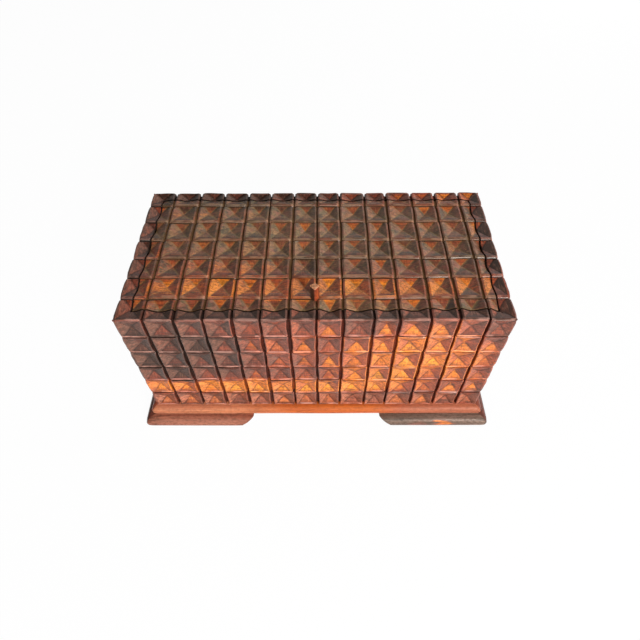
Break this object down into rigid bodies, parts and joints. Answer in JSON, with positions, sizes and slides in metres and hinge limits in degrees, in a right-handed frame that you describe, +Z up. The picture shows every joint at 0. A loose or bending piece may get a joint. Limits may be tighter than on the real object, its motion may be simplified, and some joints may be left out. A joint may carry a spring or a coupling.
{
  "type": "wooden puzzle box",
  "caption": "Chip-carved hardwood puzzle box on a moulded plinth with bracket feet; a turning peg, hidden hinge and secret slide open and lock its lid.",
  "frame": {"origin": "on the ground, under the middle of the box", "axes": "+X along the length, -Y towards the front, +Z up"},
  "size_m": [0.2278, 0.1228, 0.1162],
  "materials": {
    "carved_wood": "oiled satin, dark red brown with orange streaks",
    "lid_wood": "oiled satin, dark red brown with orange streaks",
    "plinth_wood": "oiled satin, red brown",
    "foot_wood": "oiled satin, brown",
    "inner_wood": "plain planed wood",
    "peg_wood": "whittled, satin",
    "lock_wood": "plain planed wood",
    "pin_steel": "plain steel wire"
  },
  "bodies": {
    "case": {"front_panel": "carved_wood", "back_panel": "carved_wood", "left_end_panel": "carved_wood", "right_end_panel": "carved_wood", "front_plinth_rail": "plinth_wood", "back_plinth_rail": "plinth_wood", "left_plinth_rail": "plinth_wood", "right_plinth_rail": "plinth_wood", "front_left_foot_face": "foot_wood", "front_left_foot_return": "foot_wood", "front_right_foot_face": "foot_wood", "front_right_foot_return": "foot_wood", "back_left_foot_face": "foot_wood", "back_left_foot_return": "foot_wood", "back_right_foot_face": "foot_wood", "back_right_foot_return": "foot_wood", "front_left_foot_block": "inner_wood", "front_right_foot_block": "inner_wood", "back_left_foot_block": "inner_wood", "back_right_foot_block": "inner_wood", "front_left_spline": "inner_wood", "front_right_spline": "inner_wood", "back_left_spline": "inner_wood", "back_right_spline": "inner_wood", "plinth_pegs": "inner_wood", "bottom_board": "inner_wood", "front_ledge": "inner_wood", "left_ledge": "inner_wood", "right_ledge": "inner_wood", "lock_post": "inner_wood", "slide_keeper": "inner_wood", "left_hinge_pin": "pin_steel", "right_hinge_pin": "pin_steel"},
    "lid": {"lid_panel": "lid_wood"},
    "latch": {"turning_peg": "peg_wood", "latch_tongue": "peg_wood", "latch_spacer": "peg_wood", "latch_cross_pin": "pin_steel"},
    "slide": {"secret_slide": "lock_wood"},
    "rod": {"lock_rod": "lock_wood"}
  },
  "joints": [
    {"name": "lid_hinge", "type": "hinge", "parent": "case", "child": "lid", "pos_m": [0, 0.03945, 0.1014], "axis": [-1, 0, 0], "range_deg": [0, 95]},
    {"name": "latch_turn", "type": "hinge", "parent": "lid", "child": "latch", "pos_m": [0, -0.0375, 0.1], "axis": [0, 0, -1], "range_deg": [0, 90]},
    {"name": "slide_travel", "type": "slide", "parent": "case", "child": "slide", "axis": [1, 0, 0], "range_m": [0, 0.012]},
    {"name": "rod_lift", "type": "slide", "parent": "case", "child": "rod", "axis": [0, 0, 1], "range_m": [0, 0.004]}
  ],
  "couplings": [
    {"joint": "rod_lift", "follows": "slide_travel", "ratio": 0.33333}
  ]
}
